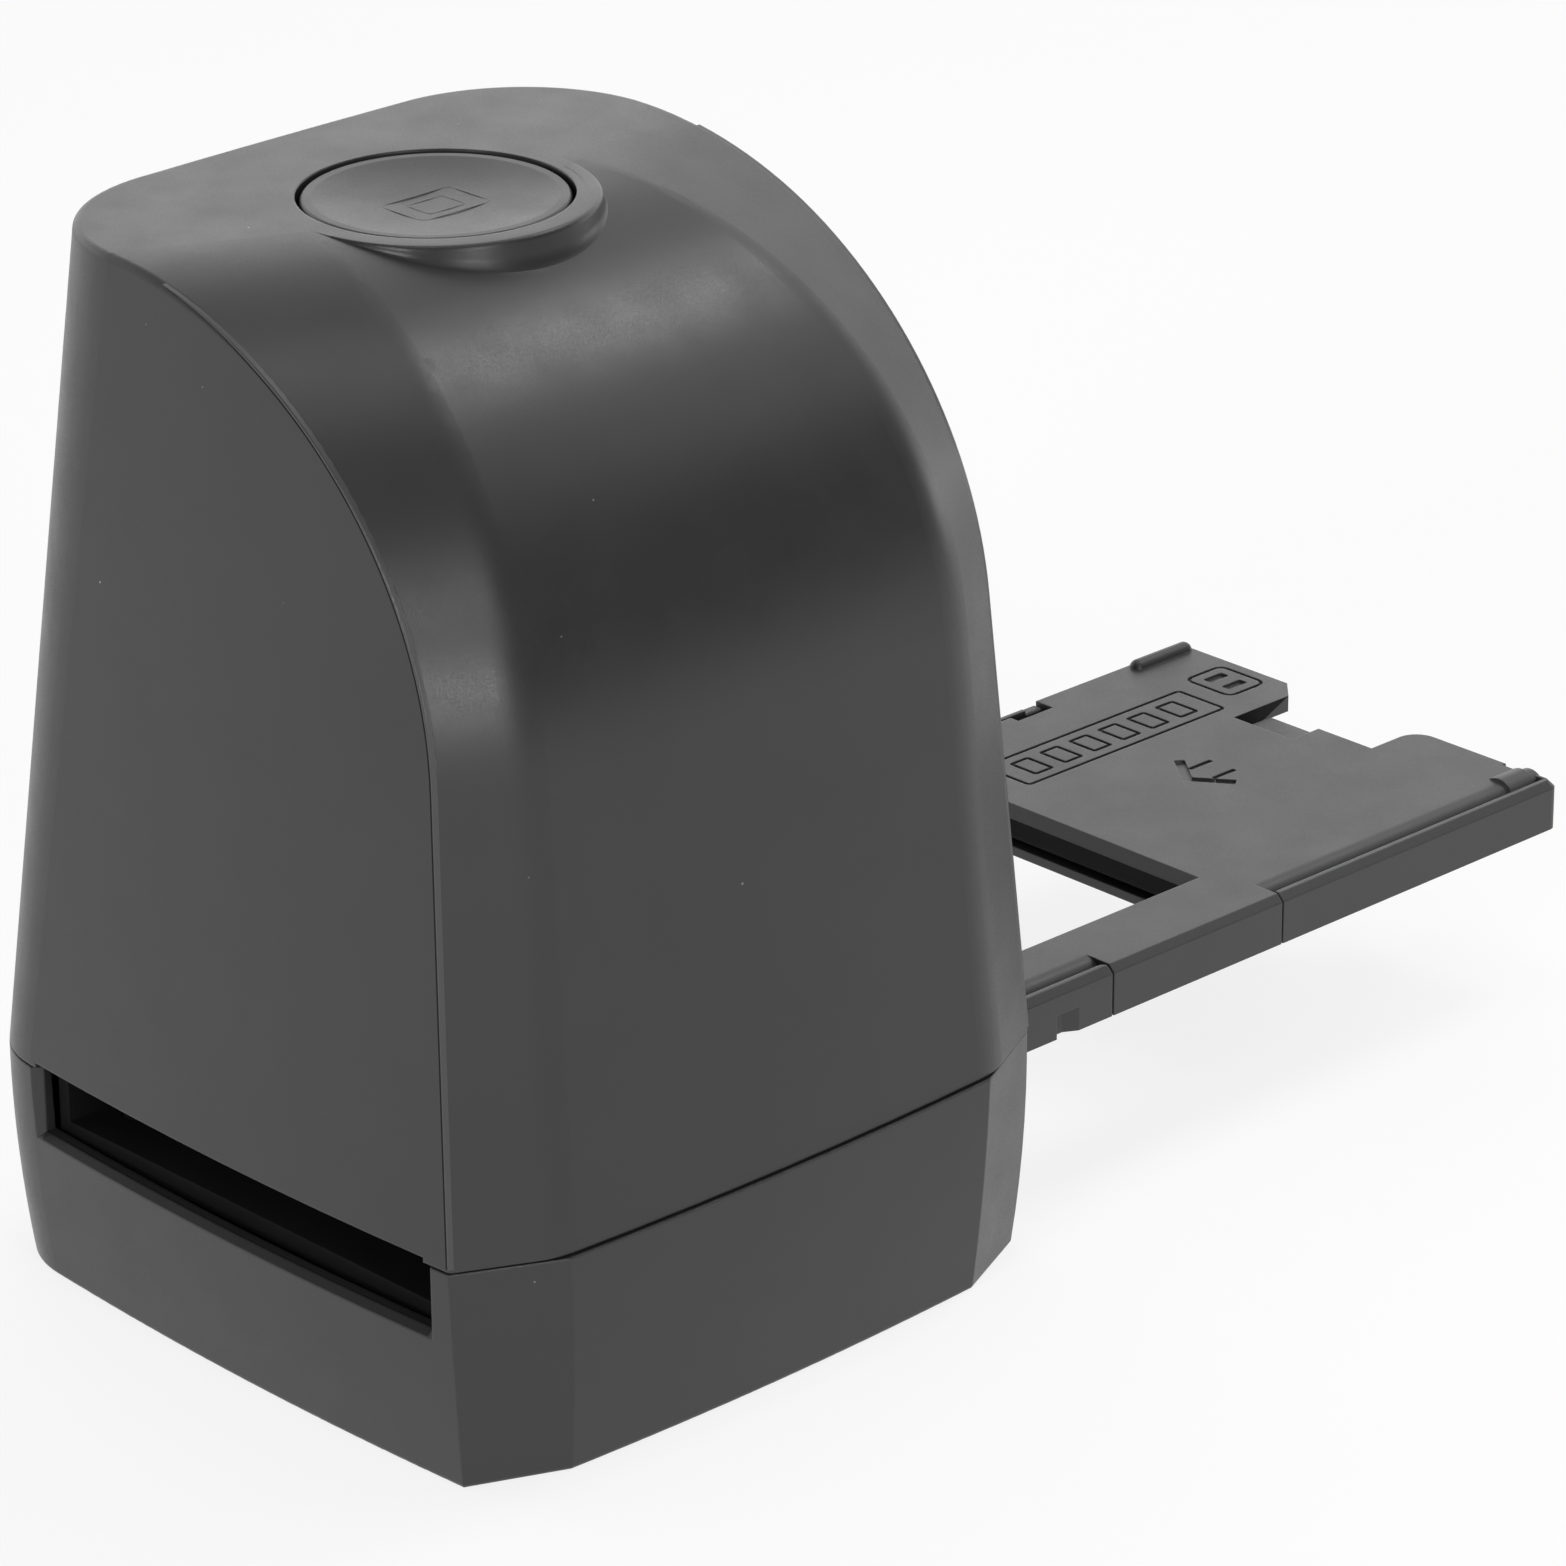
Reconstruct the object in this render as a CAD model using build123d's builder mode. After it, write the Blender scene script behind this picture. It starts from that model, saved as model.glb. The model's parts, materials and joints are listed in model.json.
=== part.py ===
from build123d import *
import math
import os

os.makedirs("parts", exist_ok=True)

# Film scanner: a hollow base, a tall upper shell, and a film tray that slides
# through both side slots along X. Millimetres, front faces -Y, up is +Z.

# ---- driving sizes -------------------------------------------------------
base_z = 0.0                          # underside of the base, flush with its feet
foot_t = 1.0
seam_z = base_z + 26.8
top_z = base_z + 125.6
wall = 2.2
seam_gap = 0.3

half_seam = 44.8                      # half width at the seam, at its widest line
foot_draw = 1.9                       # how far the sides draw in at the very bottom
half_foot = half_seam - foot_draw
side_taper = 0.0585                   # lean of the upper shell's sides, mm per mm
side_crown = 1.4                      # how much the sides draw in crown_reach away
crown_reach = 38.0
crown_y = -4.0                        # where the housing is widest
belly = 0.4                           # swell of the base half way up
front_crown = 0.93
band_half_seam, band_y_seam, edge_y_seam = 31.7, -43.4, -37.3
band_half_foot, band_y_foot, edge_y_foot = band_half_seam - 1.1, band_y_seam + 1.7, edge_y_seam + 0.6
rear_seam = 46.8
rear_foot = rear_seam - 0.6
rear_taper = 0.088
rear_crown = 0.7
corner_r = 13.5                       # rear corners at and below the seam
corner_top_r = 19.5                   # rear corners at the very top
beyond = 110.0                        # past every outline, for open cutting shapes

hump_r = 50.0                         # quarter-round front of the upper shell
hump_y = 11.5
hump_lean = 5.1                       # lean of the lower front, degrees
band_turn = 26.8                      # plan angle of the two chamfer bands
band_axis_x = 22.5

button_y = 11.0
button_r = 14.9
button_gap = 0.5
boss_r = 17.9
button_travel = 0.4

# ---- tray ----------------------------------------------------------------
tray_z = base_z + 20.0
tray_h = 6.3
tray_top = tray_z + tray_h
tray_half = 31.5
tray_end = 143.0
window_end = 88.3
window_x = 40.0
window_margin = 10.6                  # tray width left beside the window
window_y = 2 * (tray_half - window_margin)
window_cx = window_end - window_x / 2
tray_start = 2 * window_cx - tray_end
rail_t = 1.5
lip_t = 1.2
play = 0.3                            # running clearance of loose parts
edge_bevel = 0.9
cover_t = 3.7
cover_start = half_seam + play        # clears the housing's side as it swings up
cover_end = 142.0
flap_start, flap_end = 64.1, 92.8
hinge_r = 2.3
hinge_gap = 0.9                       # open line between near rail and barrel
hinge_y = -tray_half + rail_t + hinge_gap + hinge_r
hinge_z = tray_top - hinge_r
pin_r = 0.8
slot_half = tray_half + 2.0
slot_z = tray_z - 1.3
slot_top = seam_z + 0.7
slot_bevel = 0.9


def crowned(half, y):
    return half - side_crown * ((y - crown_y) / crown_reach) ** 2


def base_half(z):
    """Widest half width of the base at one height."""
    k = (z - base_z) / (seam_z - base_z)
    return half_foot + k * (half_seam - half_foot) + 4 * belly * k * (1 - k)


# ---- outer forms ---------------------------------------------------------
def base_plan(z, inset):
    """Plan outline of the base at one height, drawn in by inset."""
    k = (z - base_z) / (seam_z - base_z)
    swell = 4 * belly * k * (1 - k)
    h = base_half(z) - inset
    r = rear_foot + k * (rear_seam - rear_foot) + swell - inset
    bx = band_half_foot + k * (band_half_seam - band_half_foot) - inset * 0.75
    by = band_y_foot + k * (band_y_seam - band_y_foot) - swell + inset
    ey = edge_y_foot + k * (edge_y_seam - edge_y_foot) - swell + inset * 0.75
    fx = crowned(h, ey)
    with BuildSketch(Plane.XY.offset(z)) as plan:
        with BuildLine():
            ThreePointArc((-bx, by), (0, by - front_crown), (bx, by))
            Line((bx, by), (fx, ey))
            ThreePointArc((fx, ey), (h, crown_y), (crowned(h, r), r))
            ThreePointArc((crowned(h, r), r), (0, r + rear_crown), (-crowned(h, r), r))
            ThreePointArc((-crowned(h, r), r), (-h, crown_y), (-fx, ey))
            Line((-fx, ey), (-bx, by))
        make_face()
        fillet(plan.vertices().sort_by(Axis.Y)[-2:], corner_r - inset)
    return plan.sketch


def base_form(inset, z0, z1):
    """Base body between two heights, drawn in by inset."""
    levels = (z0, (z0 + z1) / 2, z1)
    with BuildPart() as form:
        loft([base_plan(z, inset).face() for z in levels])
    return form.part


def side_plan(z, inset):
    """Plan outline of the upper shell's sides and rear at one height."""
    up = z - seam_z
    h = half_seam - side_taper * up - inset
    r = rear_seam - rear_taper * up - inset
    f = -beyond / 2
    corner = corner_r + (corner_top_r - corner_r) * up / (top_z - seam_z)
    with BuildSketch(Plane.XY.offset(z)) as plan:
        with BuildLine():
            Line((-crowned(h, f), f), (crowned(h, f), f))
            ThreePointArc((crowned(h, f), f), (h, crown_y), (crowned(h, r), r))
            ThreePointArc((crowned(h, r), r), (0, r + rear_crown), (-crowned(h, r), r))
            ThreePointArc((-crowned(h, r), r), (-h, crown_y), (-crowned(h, f), f))
        make_face()
        fillet(plan.vertices().sort_by(Axis.Y)[-2:], corner - inset)
    return plan.sketch


def hump_outline(plane, inset, z0, shift):
    """Side profile: leaning front, quarter round, flat top. Local x is +Y."""
    a = math.radians(hump_lean)
    r, cz = hump_r - inset, top_z - hump_r
    ty, tz = hump_y - r * math.cos(a) + shift, cz + r * math.sin(a)
    fy = ty - (tz - z0) * math.tan(a)
    mid = math.radians(45 + hump_lean / 2)
    my, mz = hump_y - r * math.cos(mid) + shift, cz + r * math.sin(mid)
    top = (hump_y + shift, top_z - inset)
    with BuildSketch(plane) as side:
        with BuildLine():
            Line((fy, z0), (ty, tz))
            ThreePointArc((ty, tz), (my, mz), top)
            Polyline(top, (beyond, top_z - inset), (beyond, z0), (fy, z0))
        make_face()
    return side.sketch


def upper_form(inset, z0):
    """Upper body above z0, drawn in by inset."""
    turn_r = band_half_seam ** 2 / 2 / front_crown
    pivot = Vector(0, band_y_seam + turn_r, 0)
    swing = 7.0
    start = Vector(0, 1, 0).rotate(Axis.Z, -swing)
    front = Plane(pivot - start * pivot.Y, start, start.cross(Vector(0, 0, 1)))
    with BuildPart() as form:
        loft([side_plan(z, inset).face() for z in (z0, top_z + 2)], ruled=True)
        centre = hump_outline(front, inset, z0, -front_crown)
        revolve(centre, Axis(pivot, (0, 0, 1)), 2 * swing, mode=Mode.INTERSECT)
        for s in (-1, 1):
            back = Vector(0, 1, 0).rotate(Axis.Z, s * band_turn)
            band = Plane((s * band_axis_x, 0, 0), back, back.cross(Vector(0, 0, 1)))
            side = hump_outline(band, inset, z0, 0)
            extrude(side, amount=beyond, both=True, mode=Mode.INTERSECT)
    return form.part


def save(builder, name):
    builder.part.label = name
    export_step(builder.part, f"parts/{name}.step")


def rod(x, y, z, r, length):
    """Upright cylinder standing on z, for use inside a builder."""
    with Locations((x, y, z)):
        Cylinder(r, length, align=(Align.CENTER, Align.CENTER, Align.MIN))


def bore(x, y, z, r, length):
    """Upright hole starting at z, for use inside a builder."""
    with Locations((x, y, z)):
        Cylinder(r, length, align=(Align.CENTER, Align.CENTER, Align.MIN), mode=Mode.SUBTRACT)


def block(x, y, z, mode=Mode.ADD):
    """Box between two x, two y and two z values, for use inside a builder."""
    with Locations(((x[0] + x[1]) / 2, (y[0] + y[1]) / 2, (z[0] + z[1]) / 2)):
        Box(x[1] - x[0], y[1] - y[0], z[1] - z[0], mode=mode)


def rod_along(axis, a, b, u, v, r, mode=Mode.ADD):
    """Cylinder along X or Y from a to b; u, v are the other two coordinates."""
    mid = (a + b) / 2
    at, turn = ((mid, u, v), (0, 90, 0)) if axis == "x" else ((u, mid, v), (90, 0, 0))
    with Locations(Location(at, turn)):
        Cylinder(r, b - a, mode=mode)


# ---- layout of the inside ------------------------------------------------
floor_t = 2.4
floor_z = base_z + floor_t
rear_post_y = rear_seam - wall - 4.3
screw_posts = [(-24, -37.4), (24, -37.4), (-27, rear_post_y), (27, rear_post_y)]
base_post_r = 3.3
side_gap = 2.4                        # film channel to the housing's side walls
gate_half = half_seam - wall - side_gap
gate_post_x = gate_half - 7.2
gate_posts = [(-gate_post_x, -28), (gate_post_x, -28), (-gate_post_x, 28), (gate_post_x, 28)]
feet_at = [(-29, -30), (29, -30), (-31, 32), (31, 32)]
gate_top = tray_z - play
gate_t = 2.5
roof_z = tray_top + play
roof_t = 2.0
channel_half = tray_half + 0.4
rail_out = channel_half + 1.7
flange_z = roof_z + roof_t
tower_top = base_z + 79.2
holder_top = tower_top + 10.0
board_y = 34.5
board_t = 1.6
main_holes = [(-19, 42), (19, 42), (-24, 92), (24, 92)]
wire_y = board_y + board_t + 1.5
wire_x = (13, 15)
wire_top = 36.0
usb_z = 40.4
deck_z = top_z - 12.4
deck_t = 1.4
deck_holes = [(-20, 3), (20, 3), (-20, 19), (20, 19)]
collar_z = top_z - 7.5
well_r = button_r + button_gap
notch_x = 56.5                        # detent notch in the tray's rails
detent_x = notch_x - window_cx
thread_play = 0.05


def rear_y(z):
    return rear_seam - rear_taper * (z - seam_z)


# ---- upper shell ---------------------------------------------------------
crease_r = 12.0
rim_r = 0.8
boss_h = 9.0
boss_flare = 1.2
post_r = 2.9
outer = upper_form(0, seam_z + seam_gap / 2)
cavity = upper_form(wall, seam_z - 1)
with BuildPart() as upper_shell:
    add(outer)
    creases = upper_shell.edges().filter_by(
        lambda e: 25 < abs(e.center().X) < 33 and e.center().Y < -15 and e.length > 20
    )
    fillet(creases, crease_r)
    rim = upper_shell.edges().filter_by(
        lambda e: e.center().Z > top_z - 0.1 and (e.center().Y > 30 or abs(e.center().X) > 35)
        or (abs(e.center().X) > 38 and e.center().Y < 0 and e.length > 50 and e.center().Z > seam_z + 5)
    )
    fillet(rim, rim_r)
    with Locations((0, button_y, top_z - boss_h / 2)):
        Cone(boss_r + boss_flare, boss_r, boss_h)
    add(cavity, mode=Mode.SUBTRACT)
    rod(0, button_y, collar_z, well_r + 1.8, top_z - 1 - collar_z)
    bore(0, button_y, collar_z - 1, well_r, 12)
    for x, y in screw_posts:
        rod(x, y, seam_z + seam_gap / 2, post_r, 32)
        bore(x, y, seam_z - 1, 1.25 + thread_play, 22)
    for s in (-1, 1):
        for y in (-22, 22):
            rib_x = s * gate_half
            block((rib_x - side_gap, rib_x + side_gap), (y - 1.2, y + 1.2), (flange_z, flange_z + 16))
    for x, z in main_holes:
        rod_along("y", board_y + board_t, rear_y(z) - wall / 2, x, z, 2.4)
        rod_along("y", board_y + 1, rear_y(z) - wall - 0.4, x, z, 1 + thread_play, Mode.SUBTRACT)
    for x, y in deck_holes:
        rod(x, y, deck_z + deck_t, 2.3, top_z - wall / 2 - deck_z - deck_t)
        bore(x, y, deck_z, 1 + thread_play, 7.5)
    block((-60, 60), (-slot_half, slot_half), (seam_z - 2, slot_top), Mode.SUBTRACT)
    block((-4.3, 4.3), (36, beyond), (usb_z - 2.4, usb_z + 2.4), Mode.SUBTRACT)
    block((-6.4, 6.4), (rear_y(usb_z) - 0.4, beyond), (usb_z - 4, usb_z + 4), Mode.SUBTRACT)
save(upper_shell, "upper_shell")

# ---- base shell ----------------------------------------------------------
def bevelled_mouth():
    """Cutter for the sloped sill and ends of the slot in the right-hand wall."""
    sill = base_half(slot_z) - slot_bevel
    near = crowned(sill, -slot_half)
    far = crowned(sill, slot_half)
    arc_r = crown_reach ** 2 / 2 / side_crown
    turn = 4.8
    out = slot_bevel + 1.5
    with BuildPart() as cutter:
        back = Vector(1, 0, 0).rotate(Axis.Z, -turn)
        pivot = Vector(sill - arc_r, crown_y, 0)
        with BuildSketch(Plane(pivot, back, back.cross(Vector(0, 0, 1)))) as cut:
            with BuildLine():
                Polyline(
                    (arc_r, slot_z), (arc_r + out, slot_z - out), (arc_r + out, seam_z + 5),
                    (arc_r, seam_z + 5), (arc_r, slot_z),
                )
            make_face()
        revolve(cut.sketch, Axis(pivot, (0, 0, 1)), 2 * turn)
        with BuildSketch() as fan:
            with BuildLine():
                Polyline(
                    (near, -slot_half), (near + out, -slot_half - out), (far + out, slot_half + out),
                    (far, slot_half), (near, -slot_half),
                )
            make_face()
        extrude(fan.sketch, amount=beyond, mode=Mode.INTERSECT)
    return cutter.part


outer = base_form(0, base_z, seam_z - seam_gap / 2)
cavity = base_form(wall, floor_z, seam_z + 2)
slot_mouth = bevelled_mouth()
with BuildPart() as base_shell:
    add(outer)
    fillet(base_shell.faces().sort_by(Axis.Z)[0].edges(), 0.6)
    add(cavity, mode=Mode.SUBTRACT)
    for x, y in screw_posts:
        rod(x, y, base_z, base_post_r, seam_z - seam_gap / 2 - base_z)
        bore(x, y, base_z - 1, 1.7, 40)
        bore(x, y, base_z - 1, 2.85, 7)
    for x, y in gate_posts:
        rod(x, y, base_z + 1, 3, gate_top - gate_t - base_z - 1)
        bore(x, y, base_z + 8, 1 + thread_play, 20)
    for x, y in feet_at:
        bore(x, y, base_z - 1, 5.2, 1 + foot_t)
    block((-60, 60), (-slot_half, slot_half), (slot_z, seam_z + 5), Mode.SUBTRACT)
    add(slot_mouth, mode=Mode.SUBTRACT)
    add(slot_mouth.mirror(Plane.YZ), mode=Mode.SUBTRACT)
save(base_shell, "base_shell")

with BuildPart() as rubber_feet:
    for x, y in feet_at:
        rod(x, y, base_z, 5.0, foot_t)
save(rubber_feet, "rubber_feet")

with BuildPart() as housing_screws:
    for x, y in screw_posts:
        rod(x, y, base_z + 4.4, 2.6, 1.6)
        rod(x, y, base_z + 6, 1.25, seam_z - base_z + 12)
        bore(x, y, base_z + 4, 0.9, 1.2)
save(housing_screws, "housing_screws")

# ---- light source under the film -----------------------------------------
box_half = 25.0
box_wall = 1.6
box_top = base_z + 15.0
with BuildPart() as light_box:
    block((-box_half, box_half), (-box_half, box_half), (floor_z, box_top))
    inner = box_half - box_wall
    block((-inner, inner), (-inner, inner), (floor_z + 1.2, box_top + 1), Mode.SUBTRACT)
    block((wire_x[0] - 1, wire_x[1] + 1), (0, box_half + 1), (floor_z + 1.2, floor_z + 4.6), Mode.SUBTRACT)
save(light_box, "light_box")

led_board_z = floor_z + 1.2
board_half = box_half - box_wall - 0.9
with BuildPart() as backlight_board:
    block((-board_half, board_half), (-board_half, board_half), (led_board_z, led_board_z + 1.4))
save(backlight_board, "backlight_board")

with BuildPart() as backlight_leds:
    with Locations((0, 0, led_board_z + 1.4 + 0.4)):
        with GridLocations(10, 10, 4, 4):
            Box(2.8, 2.8, 0.8)
save(backlight_leds, "backlight_leds")

with BuildPart() as light_diffuser:
    pane = box_half - 0.5
    block((-pane, pane), (-pane, pane), (box_top, box_top + 2))
save(light_diffuser, "light_diffuser")

# ---- film channel --------------------------------------------------------
spring_y = tray_half + 4.3
spring_t = 0.4
with BuildPart() as lower_gate:
    block((-gate_half, gate_half), (-rail_out, rail_out), (gate_top - gate_t, roof_z))
    block((-beyond, beyond), (-channel_half, channel_half), (gate_top, roof_z + 1), Mode.SUBTRACT)
    beam_x, beam_y = window_x / 2 + 1, window_y / 2 + 1.1
    block((-beam_x, beam_x), (-beam_y, beam_y), (0, roof_z), Mode.SUBTRACT)
    for x, y in gate_posts:
        bore(x, y, 0, 1.2, 40)
        bore(x, y, gate_top - 1.3, 2.3, 4)
    for x, y in screw_posts:
        bore(x, y, 0, base_post_r + play, 60)
    block((wire_x[0] - 2, wire_x[1] + 2), (wire_y - 1.2, beyond), (0, top_z), Mode.SUBTRACT)
    for s in (-1, 1):
        y0, y1 = sorted((s * (channel_half - 1), s * (rail_out + 1)))
        block((detent_x - 2.8, detent_x + 2.8), (y0, y1), (gate_top, roof_z - 2), Mode.SUBTRACT)
        y0, y1 = sorted((s * (rail_out - 0.5), s * spring_y))
        block((0, 6), (y0, y1), (gate_top - gate_t, gate_top + 3))
save(lower_gate, "lower_gate")

with BuildPart() as gate_screws:
    for x, y in gate_posts:
        rod(x, y, gate_top - 1.3, 2.1, 1.1)
        rod(x, y, base_z + 9, 1.0, gate_top - 1.3 - base_z - 9)
save(gate_screws, "gate_screws")

roller_r = 1.9
roller_y = tray_half + 0.1 + roller_r
roller_z = gate_top + 0.6
for s, name in ((-1, "near"), (1, "far")):
    with BuildPart() as detent_roller:
        rod(detent_x, s * roller_y, roller_z, roller_r, 2.0)
        bore(detent_x, s * roller_y, roller_z - 1, 0.5 + thread_play, 5)
    save(detent_roller, f"detent_roller_{name}")

with BuildPart() as detent_springs:
    for s in (-1, 1):
        y0, y1 = sorted((s * spring_y, s * (spring_y + spring_t)))
        block((detent_x - 1.5, 6), (y0, y1), (roller_z - 0.5, roller_z + 2.5))
        y0, y1 = sorted((s * (roller_y - 1.1), s * (spring_y + spring_t)))
        for z in (roller_z - 0.5, roller_z + 2.1):
            block((detent_x - 1.5, detent_x + 1.5), (y0, y1), (z, z + 0.4))
        bore(detent_x, s * roller_y, roller_z - 1, 0.5, 6)
save(detent_springs, "detent_springs")

with BuildPart() as roller_pins:
    for s in (-1, 1):
        rod(detent_x, s * roller_y, roller_z - 0.5, 0.5, 3.0)
save(roller_pins, "roller_pins")

# ---- camera tower above the film -----------------------------------------
hole_x, hole_y = window_x / 2 + 3.5, window_y / 2 + 3.6
tower_holes = [(-hole_x, -hole_y), (hole_x, -hole_y), (-hole_x, hole_y), (hole_x, hole_y)]
tower_w, tower_d, tower_wall = window_x + 5, window_y + 4.2, 1.6
roof_half = channel_half + 1.5
with BuildPart() as upper_gate:
    block((-gate_half + 1.8, gate_half - 1.8), (-roof_half, roof_half), (roof_z, roof_z + roof_t))
    view_x, view_y = window_x / 2 - 1, window_y / 2 - 0.9
    block((-view_x, view_x), (-view_y, view_y), (0, 60), Mode.SUBTRACT)
    for x, y in tower_holes:
        bore(x, y, 0, 0.95, 60)
    for x, y in screw_posts:
        bore(x, y, 0, base_post_r + play, 60)
save(upper_gate, "upper_gate")

with BuildPart() as optics_tower:
    block((-hole_x - 3, hole_x + 3), (-hole_y - 3, hole_y + 3), (flange_z, flange_z + 1.6))
    for inset, mode in ((0, Mode.ADD), (2 * tower_wall, Mode.SUBTRACT)):
        w, d = tower_w - inset, tower_d - inset
        low = flange_z if mode == Mode.ADD else flange_z - 0.1
        high = tower_top if mode == Mode.ADD else tower_top - 2
        with BuildSketch(Plane.XY.offset(low)) as wide:
            Rectangle(w, d)
        with BuildSketch(Plane.XY.offset(high)) as narrow:
            Rectangle(w - 20, d - 21)
        loft([wide.sketch.face(), narrow.sketch.face()], ruled=True, mode=mode)
    bore(0, 0, tower_top - 3, 6.3, 5)
    for x, y in tower_holes:
        bore(x, y, 0, 0.95, 60)
save(optics_tower, "optics_tower")

with BuildPart() as tower_screws:
    for x, y in tower_holes:
        rod(x, y, flange_z + 1.6, 1.7, 1.1)
        rod(x, y, roof_z + 0.2, 0.9, roof_t + 1.4)
save(tower_screws, "tower_screws")

lens_r = 6.0
with BuildPart() as lens_holder:
    block((-11, 11), (-11, 11), (tower_top, tower_top + 1.6))
    rod(0, 0, tower_top, 8.2, holder_top - tower_top)
    block((-15, 15), (-9, 9), (holder_top - 1.8, holder_top))
    bore(0, 0, tower_top - 1, lens_r + thread_play, 9.2)
    block((-5.9, 5.9), (-5.9, 5.9), (holder_top - 2.2, holder_top + 1), Mode.SUBTRACT)
    for x in (-12.5, 12.5):
        bore(x, 0, holder_top - 3, 0.95, 9)
save(lens_holder, "lens_holder")

lens_z = tower_top - 7.5
with BuildPart() as lens_barrel:
    rod(0, 0, lens_z, 7.2, 3.4)
    rod(0, 0, lens_z, lens_r, 13)
    bore(0, 0, lens_z - 1, 4.7, 2.9)
    bore(0, 0, lens_z - 1, 3.4, 20)
save(lens_barrel, "lens_barrel")

with BuildPart() as lens_glass:
    rod(0, 0, lens_z + 0.5, 4.65, 1.4)
    with Locations((0, 0, lens_z + 13.6)):
        Sphere(14, mode=Mode.INTERSECT)
save(lens_glass, "lens_glass")

with BuildPart() as sensor_board:
    block((-16, 16), (-16, 16), (holder_top, holder_top + 1.4))
    for x in (-12.5, 12.5):
        bore(x, 0, holder_top - 1, 0.95, 9)
    block((-7, 7), (10, 13.5), (holder_top + 1.4, holder_top + 3.0))
save(sensor_board, "sensor_board")

with BuildPart() as image_sensor:
    block((-5.6, 5.6), (-5.6, 5.6), (holder_top - 1.3, holder_top))
save(image_sensor, "image_sensor")

with BuildPart() as sensor_screws:
    for x in (-12.5, 12.5):
        rod(x, 0, holder_top + 1.4, 1.7, 1.1)
        rod(x, 0, holder_top - 1.6, 0.9, 3.0)
save(sensor_screws, "sensor_screws")

# ---- main board at the back ----------------------------------------------
link_z = holder_top + 2.2
with BuildPart() as main_board:
    block((-27.5, 27.5), (board_y, board_y + board_t), (35, 97))
    for x, z in main_holes:
        rod_along("y", board_y - 1, board_y + 3, x, z, 1.2, Mode.SUBTRACT)
save(main_board, "main_board")

with BuildPart() as main_chips:
    block((-7, 7), (board_y - 1.4, board_y), (62, 76))
    block((11, 19), (board_y - 1.1, board_y), (60, 72))
    block((-20, -15), (board_y - 2.4, board_y), (64, 67.4))
    block((-6.5, 6.5), (board_y - 2.8, board_y), (link_z - 1.6, link_z + 1.6))
    block((wire_x[0] - 2, wire_x[1] + 2), (board_y + board_t, board_y + board_t + 3), (wire_top, wire_top + 4))
save(main_chips, "main_chips")

with BuildPart() as sensor_cable:
    block((-5, 5), (13.5, board_y - 2.8), (link_z - 0.15, link_z + 0.15))
save(sensor_cable, "sensor_cable")

with BuildPart() as usb_socket:
    deep = rear_y(usb_z) - 1.2
    block((-3.85, 3.85), (board_y + board_t, deep), (usb_z - 1.95, usb_z + 1.95))
    block((-3.4, 3.4), (deep - 6.5, deep + 1), (usb_z - 1.5, usb_z + 1.5), Mode.SUBTRACT)
    block((-2.5, 2.5), (deep - 6.6, deep - 1), (usb_z - 0.5, usb_z + 0.5))
save(usb_socket, "usb_socket")

wire_z = led_board_z + 1.4 + 1.0
plug_y = board_half - 1.3
with BuildPart() as light_wires:
    for x in wire_x:
        with BuildLine() as way:
            Polyline((x, plug_y, wire_z), (x, wire_y, wire_z), (x, wire_y, wire_top))
            fillet(way.vertices().sort_by(Axis.Y)[1:].sort_by(Axis.Z)[:1], 3)
        with BuildSketch(Plane.XZ.offset(-plug_y)) as cut:
            with Locations((x, wire_z)):
                Circle(0.7)
        sweep()
    block((wire_x[0] - 2, wire_x[1] + 2), (plug_y - 3.7, plug_y), (led_board_z + 1.4, led_board_z + 4))
save(light_wires, "light_wires")

# ---- button --------------------------------------------------------------
with BuildPart() as button_board:
    block((-24, 24), (-2, 24), (deck_z, deck_z + deck_t))
    for x, y in deck_holes:
        bore(x, y, deck_z - 1, 1.2, 9)
save(button_board, "button_board")

with BuildPart() as board_screws:
    for x, y in deck_holes:
        rod(x, y, deck_z - 1.2, 2.0, 1.2)
        rod(x, y, deck_z, 1.0, 7)
    for x, z in main_holes:
        rod_along("y", board_y - 1.2, board_y, x, z, 2.0)
        rod_along("y", board_y, rear_y(z) - wall - 1, x, z, 1.0)
save(board_screws, "board_screws")

switch_z = deck_z + deck_t
stem_gap = 0.05
with BuildPart() as tact_switch:
    block((-3, 3), (button_y - 3, button_y + 3), (switch_z, switch_z + 3.2))
    bore(0, button_y, switch_z + 1.4, 1.7 + thread_play, 5)
save(tact_switch, "tact_switch")

with BuildPart() as switch_plunger:
    rod(0, button_y, switch_z + 1.5 + button_travel, 1.7, 2.1)
save(switch_plunger, "switch_plunger")

cap_z = top_z - 0.2
dish_r, dish_depth = 13.6, 1.2
ball = (dish_r ** 2 + dish_depth ** 2) / 2 / dish_depth
with BuildPart() as scan_button:
    rod(0, button_y, collar_z - 1.3, button_r, cap_z - collar_z + 1.3)
    chamfer(scan_button.edges().group_by(Axis.Z)[-1], 0.3)
    rod(0, button_y, collar_z - 1.4, button_r + 1.6, 1.3)
    bore(0, button_y, collar_z - 2, button_r - 1.5, cap_z - collar_z - 3.4 + 2)
    rod(0, button_y, switch_z + 4 + stem_gap, 2.0, cap_z - 3 - switch_z - 4 - stem_gap)
    with Locations((0, button_y, cap_z - dish_depth + ball)):
        Sphere(ball, mode=Mode.SUBTRACT)
save(scan_button, "scan_button")

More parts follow.
